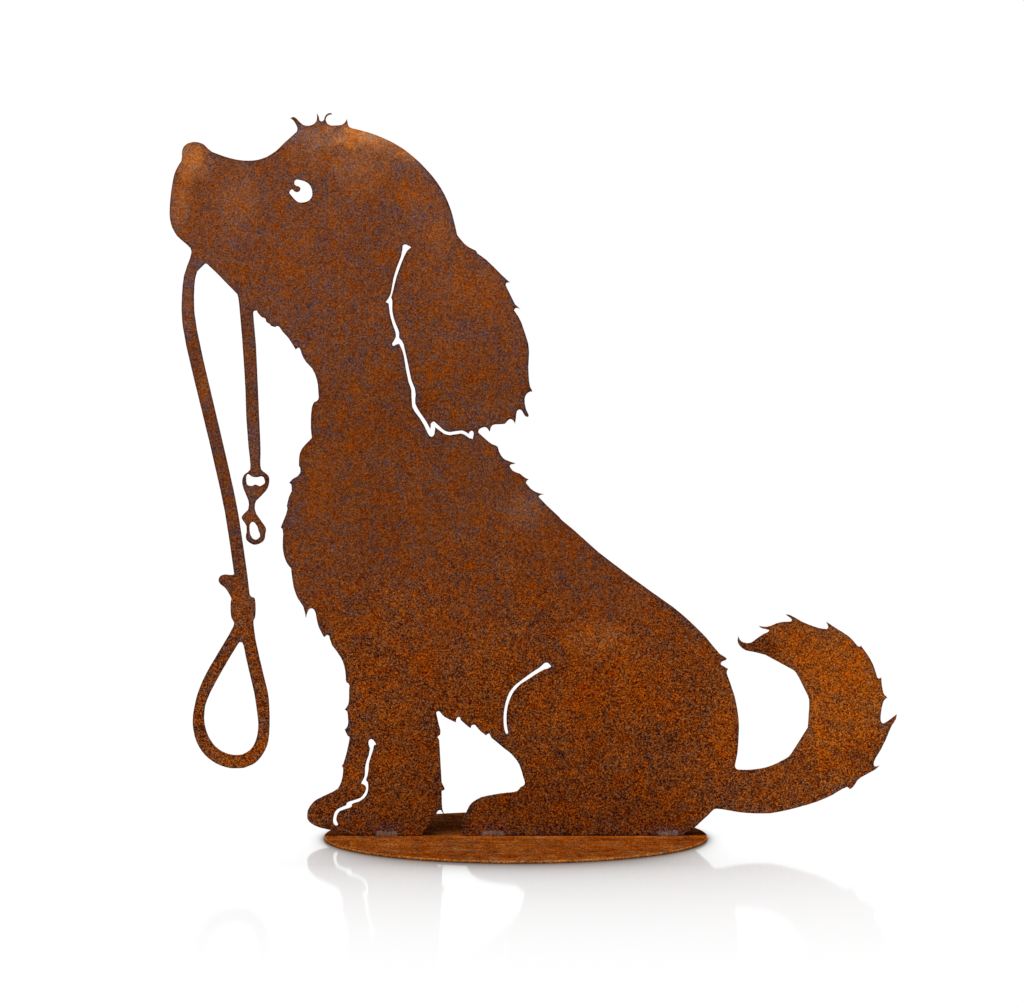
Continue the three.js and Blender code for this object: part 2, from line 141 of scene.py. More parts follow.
class BaseSettings(bpy.types.PropertyGroup):
    """Sizes and colours of the round base."""

    sides: IntProperty(
        name="Sides", description="Sides of the round rim", default=240, min=24, max=720
    )
    edge_rounding: length("Edge rounding", 0.4 * MM, "How far the rim is worn round")
    mesh_step: length("Mesh step", 3.0 * MM, "Spacing of the cuts that divide the disc")
    relief: length("Relief", 0.12 * MM, "Depth of the uneven rusted skin")
    rust: colour("Rust", (114, 51, 3), "Rust on the disc")
    # Rim rust is a bright ochre rust tone that lights the rim as a painted highlight.
    rim: colour("Rim rust and highlight", (170, 98, 36), "Rust on the rim, lightened as a painted highlight")
    # Dark rust also serves as painted shadow on the far side of the sheet and as painted shade low on the
    # rim.
    dark: colour("Dark rust", (64, 30, 12), "Dark rust between the streaks")
    # A painted line of light, lighter and warmer rust, runs along the front of the sheet's foot.
    light_line_offset: length("Seam", 5.0 * MM, "How far in front of the sheet the painted line of light runs")


class WeldSettings(bpy.types.PropertyGroup):
    """Sizes and colours of the three weld beads."""

    voxel: length("Voxel", 0.22 * MM, "Grid that the bead is melted together on")
    height: length("Height", 4.6 * MM, "Height of a bead above the base")
    reach: length("Reach", 4.4 * MM, "How far a bead stands out from the sheet")
    metal: colour("Metal", (92, 61, 47), "Weld metal with a thin bloom of rust")
    fleck: colour("Fleck", (170, 138, 112), "Bare crests of the ripples")


class StudioSettings(bpy.types.PropertyGroup):
    """Camera and light."""

    elevation: FloatProperty(
        name="Elevation",
        description="Height of the camera above the horizon",
        default=math.radians(5.23),
        unit="ROTATION",
    )
    distance: length("Distance", 6.0, "Camera to the middle of the figure")
    aim_side: FloatProperty(
        name="Aim aside", description="Where the camera aims, along the sheet", default=-2.56 * MM
    )
    aim_height: length("Aim height", 233.9 * MM, "Where the camera aims, above the floor")
    focal: amount("Focal length", 307.2, "Focal length in millimetres")
    key: amount("Key light", 3.0, "Strength of the light overhead")
    fill: amount("Fill light", 0.6, "Strength of the light from the front")
    ambient: amount("Ambient", 0.10, "Light from all round")
    floor: amount("Floor", 1.02, "Brightness of the white floor")
    mirror: amount("Mirror", 0.42, "How much the floor mirrors beside the base")
    mirror_reach: length("Mirror reach", 170.0 * MM, "How far from the base the mirroring fades")
    contact_side: length("Contact beside", 3.0 * MM, "Width of the shadow beside the base")
    contact_front: length("Contact in front", 20.0 * MM, "Extra width of the shadow in front")


# ---------------------------------------------------------------- modelling helpers


def only(piece):
    """Makes the piece the one selected and active object."""
    bpy.ops.object.select_all(action="DESELECT")
    bpy.context.view_layer.objects.active = piece
    piece.select_set(True)


def enter(piece):
    """Opens the piece in edit mode with everything deselected."""
    only(piece)
    bpy.ops.object.mode_set(mode="EDIT")
    bpy.ops.mesh.select_mode(type="EDGE")
    bpy.ops.mesh.select_all(action="DESELECT")


def leave():
    """Closes edit mode."""
    bpy.ops.object.mode_set(mode="OBJECT")


def pick_edges(piece, chosen):
    """Selects the edges for which chosen(edge) is true."""
    mesh = bmesh.from_edit_mesh(piece.data)
    for edge in mesh.edges:
        if chosen(edge):
            edge.select_set(True)
    bmesh.update_edit_mesh(piece.data)


def cut_across(axis, low, high, step):
    """Cuts the mesh in edit mode by evenly spaced planes across one axis."""
    normal = [0.0, 0.0, 0.0]
    normal[axis] = 1.0
    count = max(1, round((high - low) / step))
    for index in range(1, count):
        point = [0.0, 0.0, 0.0]
        point[axis] = low + (high - low) * index / count
        bpy.ops.mesh.select_all(action="SELECT")
        bpy.ops.mesh.bisect(plane_co=point, plane_no=normal, use_fill=False)


def roughen(piece, name, depth, grain):
    """Wears the surface inward by up to depth, in lumps about one grain across."""
    lumps = bpy.data.textures.new(name, "CLOUDS")
    lumps.noise_scale = grain
    lumps.noise_depth = 3
    wear = piece.modifiers.new(name, "DISPLACE")
    wear.texture = lumps
    wear.texture_coords = "LOCAL"
    wear.direction = "NORMAL"
    wear.strength = depth
    wear.mid_level = 1.0
    only(piece)
    bpy.ops.object.modifier_apply(modifier=name)


def finish_piece(piece, node, material):
    """Smooths, paints and hands over one finished piece."""
    only(piece)
    bpy.ops.object.shade_smooth_by_angle(angle=SMOOTH_ANGLE)
    piece.data.materials.clear()
    piece.data.materials.append(material)
    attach(piece, "root")
    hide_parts(node)
    return piece


# ---------------------------------------------------------------- shader helpers


def add_node(tree, kind, options=None, values=None):
    """A node with its options set and its inputs given values or linked."""
    made = tree.nodes.new(kind)
    for name, value in (options or {}).items():
        setattr(made, name, value)
    for name, value in (values or {}).items():
        socket = made.inputs[name]
        if isinstance(value, bpy.types.NodeSocket):
            tree.links.new(value, socket)
        else:
            socket.default_value = value
    return made


def maths(tree, operation, first, second=None, third=None, clamp=False):
    """One Math node's result."""
    values = {i: v for i, v in enumerate((first, second, third)) if v is not None}
    options = {"operation": operation, "use_clamp": clamp}
    return add_node(tree, "ShaderNodeMath", options, values).outputs[0]


def vector_maths(tree, operation, first, second=None):
    """One Vector Math node's vector."""
    values = {i: v for i, v in enumerate((first, second)) if v is not None}
    return add_node(tree, "ShaderNodeVectorMath", {"operation": operation}, values).outputs[0]


def blend_colours(tree, factor, first, second):
    """One Mix Color node's result."""
    made = add_node(tree, "ShaderNodeMix", {"data_type": "RGBA", "blend_type": "MIX"})
    sockets = (made.inputs[0], made.inputs[6], made.inputs[7])
    for socket, value in zip(sockets, (factor, first, second)):
        if isinstance(value, bpy.types.NodeSocket):
            tree.links.new(value, socket)
        elif socket.type == "RGBA":
            socket.default_value = (*value[:3], 1.0)
        else:
            socket.default_value = value
    return made.outputs[2]


def clouds(tree, vector, scale, detail=2.0, roughness=0.55, distortion=0.0, offset=0.0):
    """A noise pattern around zero, from about -1 to 1."""
    if offset:
        vector = vector_maths(tree, "ADD", vector, (offset, offset * 1.7, offset * 0.6))
    values = {
        "Vector": vector,
        "Scale": scale,
        "Detail": detail,
        "Roughness": roughness,
        "Distortion": distortion,
    }
    made = add_node(tree, "ShaderNodeTexNoise", None, values)
    return maths(tree, "MULTIPLY_ADD", made.outputs["Fac"], 3.2, -1.6)


def ramp(tree, value, low, high, start=0.0, end=1.0):
    """A smooth step from start at low to end at high."""
    values = {0: value, 1: low, 2: high, 3: start, 4: end}
    options = {"interpolation_type": "SMOOTHSTEP"}
    return add_node(tree, "ShaderNodeMapRange", options, values).outputs[0]


def new_group(name, inputs, outputs):
    """An empty shader node group with named sockets."""
    tree = bpy.data.node_groups.new(name, "ShaderNodeTree")
    for label, kind, value in inputs:
        socket = tree.interface.new_socket(label, in_out="INPUT", socket_type=kind)
        socket.default_value = value
    for label, kind in outputs:
        tree.interface.new_socket(label, in_out="OUTPUT", socket_type=kind)
    entry = tree.nodes.new("NodeGroupInput")
    outlet = tree.nodes.new("NodeGroupOutput")
    return tree, entry.outputs, outlet.inputs


NUMBER = "NodeSocketFloat"
VECTOR = "NodeSocketVector"
COLOUR = "NodeSocketColor"


def grain_group():
    """Rust grain at three sizes: light and dark specks, warm and cool blotches, and their height."""
    name = "Rust grain"
    if name in bpy.data.node_groups:
        return bpy.data.node_groups[name]
    tree, given, result = new_group(
        name,
        (
            ("Vector", VECTOR, (0.0, 0.0, 0.0)),
            ("Grain", NUMBER, 1.0),
            ("Specks", NUMBER, 0.1),
            ("Worms", NUMBER, 0.05),
            ("Blotches", NUMBER, 0.03),
            ("Warmth", NUMBER, 0.06),
            ("Glow", NUMBER, 0.4),
        ),
        (("Light", NUMBER), ("Warm", NUMBER), ("Height", NUMBER)),
    )
    place = vector_maths(tree, "MULTIPLY", given["Vector"], given["Grain"])
    cells = add_node(
        tree,
        "ShaderNodeTexVoronoi",
        {"feature": "F1"},
        {"Vector": place, "Scale": 1500.0, "Randomness": 1.0},
    )
    speck = add_node(tree, "ShaderNodeSeparateColor", None, {0: cells.outputs["Color"]}).outputs[0]
    speck = maths(tree, "MULTIPLY_ADD", speck, 2.0, -1.0)
    fine = clouds(tree, place, 900.0, 2.0, 0.7, 0.0, 0.37)
    crisp = maths(tree, "ADD", speck, fine)
    worm = clouds(tree, place, 330.0, 3.0, 0.62, 0.9, 0.11)
    worm = maths(tree, "ABSOLUTE", worm)
    worm = maths(tree, "MULTIPLY_ADD", worm, -2.4, 0.8)
    blotch = clouds(tree, place, 95.0, 3.0, 0.6, 0.4, 0.53)
    light = maths(tree, "MULTIPLY", crisp, given["Specks"])
    light = maths(tree, "MULTIPLY_ADD", worm, given["Worms"], light)
    light = maths(tree, "MULTIPLY_ADD", blotch, given["Blotches"], light)
    warm = clouds(tree, place, 240.0, 2.0, 0.55, 0.5, 0.71)
    broad = clouds(tree, place, 80.0, 3.0, 0.6, 0.4, 0.23)
    warm = maths(tree, "MULTIPLY_ADD", broad, 0.55, warm)
    warm = maths(tree, "MULTIPLY", warm, given["Warmth"])
    light = maths(tree, "MULTIPLY_ADD", warm, given["Glow"], light)
    tree.links.new(light, result["Light"])
    tree.links.new(warm, result["Warm"])
    height = maths(tree, "MULTIPLY_ADD", worm, 0.5, fine)
    height = maths(tree, "MULTIPLY_ADD", speck, 0.5, height)
    tree.links.new(height, result["Height"])
    return tree


def tint_group():
    """Moves a colour lighter or darker and warmer or cooler, in even steps to the eye."""
    name = "Rust tint"
    if name in bpy.data.node_groups:
        return bpy.data.node_groups[name]
    tree, given, result = new_group(
        name,
        (("Color", COLOUR, (0.2, 0.1, 0.05, 1.0)), ("Light", NUMBER, 0.0), ("Warm", NUMBER, 0.0)),
        (("Color", COLOUR),),
    )
    seen = add_node(tree, "ShaderNodeGamma", None, {0: given["Color"], 1: 1 / EYE_GAMMA}).outputs[0]
    light = vector_maths(tree, "SCALE", (1.02, 0.98, 0.9))
    tree.links.new(given["Light"], light.node.inputs["Scale"])
    warm = vector_maths(tree, "SCALE", (1.0, -0.2, -1.45))
    tree.links.new(given["Warm"], warm.node.inputs["Scale"])
    moved = vector_maths(tree, "ADD", vector_maths(tree, "ADD", seen, light), warm)
    kept = vector_maths(tree, "MAXIMUM", moved, (0.02, 0.012, 0.005))
    shown = add_node(tree, "ShaderNodeGamma", None, {0: kept, 1: EYE_GAMMA}).outputs[0]
    tree.links.new(shown, result["Color"])
    return tree


def spot_group():
    """A soft patch with a ragged rim: 1 at its centre, 0 outside."""
    name = "Soft patch"
    if name in bpy.data.node_groups:
        return bpy.data.node_groups[name]
    tree, given, result = new_group(
        name,
        (
            ("Vector", VECTOR, (0.0, 0.0, 0.0)),
            ("Centre", VECTOR, (0.0, 0.0, 0.0)),
            ("Size", VECTOR, (0.02, 1.0, 0.02)),
            ("Lumps", NUMBER, 0.0),
        ),
        (("Mask", NUMBER),),
    )
    offset = vector_maths(tree, "SUBTRACT", given["Vector"], given["Centre"])
    offset = vector_maths(tree, "DIVIDE", offset, given["Size"])
    far = add_node(tree, "ShaderNodeVectorMath", {"operation": "LENGTH"}, {0: offset}).outputs["Value"]
    far = maths(tree, "ADD", far, given["Lumps"])
    tree.links.new(ramp(tree, far, 0.25, 1.2, 1.0, 0.0), result["Mask"])
    return tree


def streak_group():
    """Streaks drawn out along the axis whose stretch is smallest."""
    name = "Streaks"
    if name in bpy.data.node_groups:
        return bpy.data.node_groups[name]
    tree, given, result = new_group(
        name,
        (
            ("Vector", VECTOR, (0.0, 0.0, 0.0)),
            ("Stretch", VECTOR, (1.0, 1.0, 0.06)),
            ("Scale", NUMBER, 160.0),
        ),
        (("Streak", NUMBER),),
    )
    place = vector_maths(tree, "MULTIPLY", given["Vector"], given["Stretch"])
    broad = clouds(tree, place, given["Scale"], 4.0, 0.65, 0.2, 0.31)
    tree.links.new(broad, result["Streak"])
    return tree


def use_group(tree, group, **values):
    """Places a group in a material's tree with its own values."""
    made = tree.nodes.new("ShaderNodeGroup")
    made.node_tree = group
    for name, value in values.items():
        socket = made.inputs[name]
        if isinstance(value, bpy.types.NodeSocket):
            tree.links.new(value, socket)
        elif socket.type == "RGBA":
            socket.default_value = (*value[:3], 1.0)
        else:
            socket.default_value = value
    return made.outputs


def new_material(name):
    """A material with an empty tree, its Principled shader and its object coordinates."""
    material = bpy.data.materials.new(name)
    material.use_nodes = True
    tree = material.node_tree
    tree.nodes.clear()
    shader = tree.nodes.new("ShaderNodeBsdfPrincipled")
    outlet = tree.nodes.new("ShaderNodeOutputMaterial")
    tree.links.new(shader.outputs[0], outlet.inputs[0])
    place = tree.nodes.new("ShaderNodeTexCoord").outputs["Object"]
    return material, tree, shader, place


def parts(tree, vector):
    """The x, y and z of a vector."""
    return add_node(tree, "ShaderNodeSeparateXYZ", None, {0: vector}).outputs


def connect(tree, shader, colour_out, roughness, height, depth):
    """Feeds a shader its colour, roughness and bump."""
    tree.links.new(colour_out, shader.inputs["Base Color"])
    tree.links.new(roughness, shader.inputs["Roughness"])
    bump = add_node(
        tree, "ShaderNodeBump", None, {"Strength": 1.0, "Distance": depth, "Height": height}
    )
    tree.links.new(bump.outputs[0], shader.inputs["Normal"])


# ---------------------------------------------------------------- the sheet's finish

# centre x, centre z, half width, half height, lighter by, warmer by; lengths in millimetres
SHEET_PATCHES = (
    # skull and forehead
    (-104, 478, 62, 26, 0.05, 0.015),
    # The next two patches, along the skull's top right edge, lighten and warm the rust there as a painted
    # highlight.
    (-96, 487, 34, 13, 0.17, 0.06),
    (-66, 476, 24, 13, 0.1, 0.05),
    (-140, 484, 26, 12, 0.045, -0.006),
    (-106, 457, 20, 15, 0.045, 0.012),
    (-72, 445, 11, 12, 0.03, 0.05),
    (-88, 424, 14, 16, -0.015, -0.012),
    (-50, 418, 12, 18, 0.03, 0.021),
    # nose and muzzle
    (-222, 470, 14, 18, 0.15, 0.05),
    (-231, 442, 10, 26, 0.07, 0.045),
    (-190, 440, 17, 30, 0.04, 0.0),
    (-150, 415, 20, 12, 0.01, 0.012),
    # ear and throat
    (-84, 400, 20, 8, 0.0, 0.036),
    (-30, 378, 26, 20, 0.015, 0.033),
    (-45, 330, 18, 14, 0.005, 0.018),
    (-143, 366, 16, 22, -0.02, -0.03),
    # lead
    (-212, 312, 8, 14, 0.04, 0.024),
    (-190, 158, 12, 16, 0.02, 0.024),
    (-190, 62, 24, 16, 0.02, 0.036),
    (-184, 250, 12, 60, 0.03, -0.01),
    (-228, 370, 10, 40, 0.03, -0.005),
    # chest and back
    (-133, 256, 12, 22, 0.02, 0.024),
    (-137, 232, 9, 10, 0.03, 0.036),
    (-113, 276, 18, 14, 0.01, 0.018),
    (6, 227, 18, 16, 0.05, -0.009),
    (-64, 121, 13, 11, 0.01, 0.036),
    (-100, 150, 12, 14, 0.01, 0.018),
    # haunch
    (52, 140, 24, 19, 0.055, 0.018),
    (60, 102, 66, 30, 0.01, 0.03),
    (144, 78, 10, 36, 0.035, 0.042),
    (97, 70, 20, 17, -0.02, -0.01),
    (70, 52, 14, 11, 0.03, 0.0),
    (88, 44, 8, 7, 0.02, 0.03),
    # tail
    (171, 133, 15, 11, -0.075, -0.03),
    (236, 62, 16, 20, -0.03, -0.01),
)


def sheet_material(settings):
    """Rust on the cut sheet: brown on the head, lightened and greyed there by painted sheen from the light
    above, redder below, orange on the tail, burnt at the edges, with a painted highlight on the cut edges
    that face up.
    """
    material, tree, shader, place = new_material("rusted_sheet")
    along, through, up = parts(tree, place)
    grain = grain_group()
    tint = tint_group()
    spot = spot_group()
    apart = vector_maths(tree, "MULTIPLY", place, (1.0, 30.0, 1.0))

    wander = clouds(tree, apart, 14.0, 3.0, 0.6)
    level = maths(tree, "MULTIPLY_ADD", wander, 0.05, up)
    low = ramp(tree, level, 90 * MM, 240 * MM, 1.0, 0.0)
    # The head blends to the upper colour: rust with painted sheen from the light above.
    high = ramp(tree, level, 290 * MM, 400 * MM)
    edge_of_tail = maths(tree, "MULTIPLY_ADD", wander, 0.02, along)
    on_tail = ramp(tree, edge_of_tail, 140 * MM, 190 * MM)
    on_tail = maths(tree, "MULTIPLY", on_tail, ramp(tree, level, 38 * MM, 92 * MM))
    body = blend_colours(tree, low, settings.middle, settings.lower)
    body = blend_colours(tree, high, body, settings.upper)
    body = blend_colours(tree, on_tail, body, settings.tail)

    light = maths(tree, "MULTIPLY", clouds(tree, apart, 22.0, 3.0, 0.6, 0.3, 0.9), 0.02)
    warm = maths(tree, "MULTIPLY", clouds(tree, apart, 30.0, 3.0, 0.6, 0.3, 0.4), 0.02)
    lumps = maths(tree, "MULTIPLY", clouds(tree, place, 120.0, 4.0, 0.65), 0.4)
    for x, z, width, height, lighter, warmer in SHEET_PATCHES:
        mask = use_group(
            tree,
            spot,
            Vector=place,
            Centre=(x * MM, 0.0, z * MM),
            Size=(width * MM, 1.0, height * MM),
            Lumps=lumps,
        )["Mask"]
        light = maths(tree, "MULTIPLY_ADD", mask, lighter, light)
        warm = maths(tree, "MULTIPLY_ADD", mask, warmer, warm)

    streak = use_group(tree, streak_group(), Vector=apart, Scale=150.0)["Streak"]
    light = maths(tree, "MULTIPLY_ADD", streak, 0.012, light)
    warm = maths(tree, "MULTIPLY_ADD", streak, 0.012, warm)

    strength = maths(tree, "MULTIPLY_ADD", low, 0.45, 0.49)
    specks = use_group(
        tree,
        grain,
        Vector=place,
        Grain=1.0,
        Specks=0.17,
        Worms=0.018,
        Blotches=0.016,
        Warmth=0.07,
        Glow=0.25,
    )
    light = maths(tree, "MULTIPLY_ADD", specks["Light"], strength, light)
    warm = maths(tree, "ADD", specks["Warm"], warm)
    fresh = maths(tree, "MULTIPLY_ADD", low, 0.14, 0.07)
    warm = maths(tree, "MULTIPLY_ADD", specks["Light"], fresh, warm)
    light = maths(tree, "MULTIPLY_ADD", maths(tree, "MULTIPLY", specks["Warm"], low), 0.3, light)

    scale = clouds(tree, apart, 120.0, 5.0, 0.7, 0.6, 0.66)
    scale = ramp(tree, scale, 0.55, 1.0)
    body = blend_colours(tree, maths(tree, "MULTIPLY", scale, 0.35), body, settings.violet)

    distance = add_node(tree, "ShaderNodeAttribute", {"attribute_name": EDGE_ATTRIBUTE}).outputs["Fac"]
    ragged = maths(tree, "MULTIPLY_ADD", clouds(tree, place, 260.0, 3.0, 0.6), 0.5 * MM, distance)
    burnt = ramp(tree, ragged, 0.3 * MM, settings.burnt_width, 1.0, 0.0)
    body = blend_colours(tree, maths(tree, "MULTIPLY", burnt, 0.6), body, settings.burnt)
    cooled = ramp(tree, ragged, 0.5 * MM, 7.0 * MM, -0.03, 0.0)
    warm = maths(tree, "ADD", warm, cooled)
    light = maths(tree, "MULTIPLY_ADD", cooled, 0.3, light)

    for node in WELD_NODES:
        corner, far_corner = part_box(node)
        middle = (corner + far_corner) / 2
        halo = use_group(
            tree,
            spot,
            Vector=place,
            Centre=(middle.x, -1 * MM, middle.z),
            Size=(13 * MM, 9 * MM, 7 * MM),
            Lumps=lumps,
        )["Mask"]
        body = blend_colours(tree, maths(tree, "MULTIPLY", halo, 0.45), body, settings.violet)

    facing = parts(tree, tree.nodes.new("ShaderNodeNewGeometry").outputs["Normal"])
    wall = ramp(tree, maths(tree, "ABSOLUTE", facing[1]), 0.35, 0.9, 1.0, 0.0)
    body = blend_colours(tree, wall, body, settings.cut_wall)
    # Cut edges that face up are blended to a bright rust tone: a painted highlight.
    painted_highlight = maths(tree, "MULTIPLY", ramp(tree, facing[2], 0.25, 0.6), 0.85)
    body = blend_colours(tree, painted_highlight, body, settings.bright)
    lines = use_group(
        tree, streak_group(), Vector=place, Stretch=(1.0, 0.08, 1.0), Scale=900.0
    )["Streak"]
    light = maths(tree, "MULTIPLY_ADD", maths(tree, "MULTIPLY", lines, wall), 0.08, light)

    painted = use_group(tree, tint, Color=body, Light=light, Warm=warm)["Color"]
    roughness = maths(tree, "MULTIPLY_ADD", specks["Light"], 0.4, 0.8, clamp=True)
    shader.inputs["Specular IOR Level"].default_value = 0.03
    height = maths(tree, "MULTIPLY_ADD", maths(tree, "MULTIPLY", lines, wall), 1.5, specks["Height"])
    connect(tree, shader, painted, roughness, height, 0.03 * MM)
    return material


# ---------------------------------------------------------------- the sheet


def outline_segments(piece):
    """The outline of the front face, as an array of segments (x, z, x, z)."""
    mesh = bmesh.from_edit_mesh(piece.data)
    found = []
    for edge in mesh.edges:
        facings = sorted(face.normal.y for face in edge.link_faces)
        if facings[0] < -FACE_ON and facings[-1] > -EDGE_ON:
            first, second = edge.verts
            found.append((first.co.x, first.co.z, second.co.x, second.co.z))
    return np.array(found)


def distance_to(segments, points):
    """Each point's distance to the nearest segment."""
    start, end = segments[:, :2], segments[:, 2:]
    run = end - start
    size = np.maximum((run**2).sum(1), 1e-12)
    nearest = np.empty(len(points))
    for first in range(0, len(points), POINTS_AT_ONCE):
        some = points[first : first + POINTS_AT_ONCE, None, :]
        share = np.clip(((some - start) * run).sum(2) / size, 0.0, 1.0)
        gap = some - (start + share[..., None] * run)
        nearest[first : first + POINTS_AT_ONCE] = np.sqrt((gap**2).sum(2).min(1))
    return nearest


def cut_sheet(settings):
    """The dog and its lead, cut from one sheet."""
    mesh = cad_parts["dog_plate"].data.copy()
    mesh.name = "dog_sheet"
    piece = bpy.data.objects.new("dog_sheet", mesh)
    bpy.context.collection.objects.link(piece)
    enter(piece)
    bpy.ops.mesh.select_all(action="SELECT")
    bpy.ops.mesh.customdata_custom_splitnormals_clear()
    bpy.ops.mesh.remove_doubles(threshold=MERGE)
    bpy.ops.mesh.dissolve_limited(angle_limit=FLAT_ANGLE)
    bpy.ops.mesh.select_all(action="DESELECT")
    segments = outline_segments(piece)

    def sharp_rim(edge):
        facings = sorted(abs(face.normal.y) for face in edge.link_faces)
        return facings[0] < EDGE_ON and facings[-1] > FACE_ON

    pick_edges(piece, sharp_rim)
    bpy.ops.mesh.bevel(
        offset=settings.edge_rounding, segments=2, affect="EDGES", clamp_overlap=False
    )
    cut_across(0, sheet_low.x, sheet_high.x, settings.mesh_step)
    cut_across(2, sheet_low.z, sheet_high.z, settings.mesh_step)
    bpy.ops.mesh.select_all(action="SELECT")
    bpy.ops.mesh.quads_convert_to_tris(quad_method="BEAUTY", ngon_method="BEAUTY")
    leave()
    points = np.array([(v.co.x, v.co.z) for v in mesh.vertices])
    distance = distance_to(segments, points)
    roughen(piece, "rust_skin", settings.relief, 9 * MM)
    roughen(piece, "torch_cut", settings.ragged, 3 * MM)
    held = piece.data.attributes.new(EDGE_ATTRIBUTE, "FLOAT", "POINT")
    held.data.foreach_set("value", distance.astype(np.float32))
    return finish_piece(piece, "dog_plate", sheet_material(settings))


class DOG_OT_cut_sheet(bpy.types.Operator):
    """Adds the sheet that the puppy and its lead are cut from"""

    bl_idname = "rusted_dog.cut_sheet"
    bl_label = "Cut Sheet"
    bl_options = {"REGISTER", "UNDO"}

    def execute(self, context):
        cut_sheet(context.scene.dog_sheet_settings)
        return {"FINISHED"}


# ---------------------------------------------------------------- the base


def base_material(settings):
    """Rust on the disc: orange and streaked, with a painted line of light along the front of the sheet,
    painted shadow of the sheet on its far side, a painted highlight on the rim and painted shade low on the
    rim.
    """
    material, tree, shader, place = new_material("rusted_base")
    along, away, up = parts(tree, place)
    grain = grain_group()
    specks = use_group(
        tree, grain, Vector=place, Grain=1.0, Specks=0.14, Worms=0.06, Blotches=0.08, Warmth=0.05
    )
    sweep = use_group(
        tree, streak_group(), Vector=place, Stretch=(0.25, 1.0, 1.0), Scale=70.0
    )["Streak"]
    patches = clouds(tree, place, 26.0, 4.0, 0.6, 0.4, 0.8)
    dark = ramp(tree, maths(tree, "MULTIPLY_ADD", sweep, 0.6, patches), 0.2, 1.1, 0.0, 0.7)
    body = blend_colours(tree, dark, settings.rust, settings.dark)
    # Painted shadow of the sheet: the disc on its far side is blended toward dark rust.
    sheet_shadow = ramp(tree, away, 0.0, 14 * MM, 0.0, 0.55)
    body = blend_colours(tree, sheet_shadow, body, settings.dark)
    drawn_out = vector_maths(tree, "MULTIPLY", place, (1.0, 0.3, 1.0))
    blooms = clouds(tree, drawn_out, 75.0, 5.0, 0.75, 0.5, 0.5)
    tones = clouds(tree, drawn_out, 110.0, 4.0, 0.7, 0.8, 0.3)
    # Painted line of light on the disc, a short way in front of the sheet's foot.
    painted_light_line = maths(tree, "ABSOLUTE", maths(tree, "ADD", away, settings.light_line_offset))
    painted_light_line = ramp(tree, painted_light_line, 1 * MM, 9 * MM, 1.0, 0.0)
    painted_light_line = maths(tree, "MULTIPLY", painted_light_line, ramp(tree, along, -60 * MM, -35 * MM))
    painted_light_line = maths(tree, "MULTIPLY", painted_light_line, ramp(tree, along, 105 * MM, 122 * MM, 1.0, 0.0))

    across = maths(tree, "MULTIPLY", along, along)
    radius = maths(tree, "SQRT", maths(tree, "MULTIPLY_ADD", away, away, across))
    # The rim is blended toward the rim colour: rust lightened as a painted highlight.
    outer = maths(tree, "SUBTRACT", base_high.x, radius)
    rim = ramp(tree, outer, 0.2 * MM, 0.9 * MM, 1.0, 0.0)
    body = blend_colours(tree, maths(tree, "MULTIPLY", rim, 0.8), body, settings.rim)

    # Painted shade: the lower part of the rim and the underside are blended toward dark rust.
    under = ramp(tree, maths(tree, "DIVIDE", up, base_high.z), 0.15, 0.6, 1.0, 0.0)
    under = maths(tree, "MULTIPLY", under, 0.75)
    body = blend_colours(tree, under, body, settings.dark)

    light = maths(tree, "MULTIPLY_ADD", sweep, 0.06, specks["Light"])
    light = maths(tree, "MULTIPLY_ADD", blooms, 0.09, light)
    light = maths(tree, "MULTIPLY_ADD", painted_light_line, 0.05, light)
    warm = maths(tree, "MULTIPLY_ADD", patches, 0.03, specks["Warm"])
    warm = maths(tree, "MULTIPLY_ADD", tones, 0.05, warm)
    warm = maths(tree, "MULTIPLY_ADD", painted_light_line, 0.04, warm)
    painted = use_group(tree, tint_group(), Color=body, Light=light, Warm=warm)["Color"]
    roughness = maths(tree, "MULTIPLY_ADD", specks["Light"], 0.4, 0.85, clamp=True)
    shader.inputs["Specular IOR Level"].default_value = 0.0
    connect(tree, shader, painted, roughness, specks["Height"], 0.03 * MM)
    return material


def base_disc(settings):
    """The round plate that the sheet stands on."""
    bpy.ops.object.select_all(action="DESELECT")
    bpy.ops.mesh.primitive_cylinder_add(
        vertices=settings.sides,
        radius=base_high.x,
        depth=base_high.z - base_low.z,
        location=(0.0, 0.0, (base_high.z + base_low.z) / 2),
    )
    piece = bpy.context.active_object
    piece.name = piece.data.name = "base_disc"
    bpy.ops.object.transform_apply(location=True, rotation=True, scale=True)
    enter(piece)

    def round_rim(edge):
        facings = sorted(abs(face.normal.z) for face in edge.link_faces)
        return facings[0] < EDGE_ON and facings[-1] > FACE_ON

    pick_edges(piece, round_rim)
    bpy.ops.mesh.bevel(
        offset=settings.edge_rounding, segments=3, affect="EDGES", clamp_overlap=False
    )
    cut_across(0, base_low.x, base_high.x, settings.mesh_step)
    cut_across(1, base_low.y, base_high.y, settings.mesh_step)
    bpy.ops.mesh.select_all(action="SELECT")
    bpy.ops.mesh.quads_convert_to_tris(quad_method="BEAUTY", ngon_method="BEAUTY")
    leave()
    roughen(piece, "rust_skin", settings.relief, 12 * MM)
    return finish_piece(piece, "base_plate", base_material(settings))


class DOG_OT_base_disc(bpy.types.Operator):
    """Adds the round plate that the sheet stands on"""

    bl_idname = "rusted_dog.base_disc"
    bl_label = "Base Disc"
    bl_options = {"REGISTER", "UNDO"}

    def execute(self, context):
        base_disc(context.scene.dog_base_settings)
        return {"FINISHED"}


# ---------------------------------------------------------------- the welds


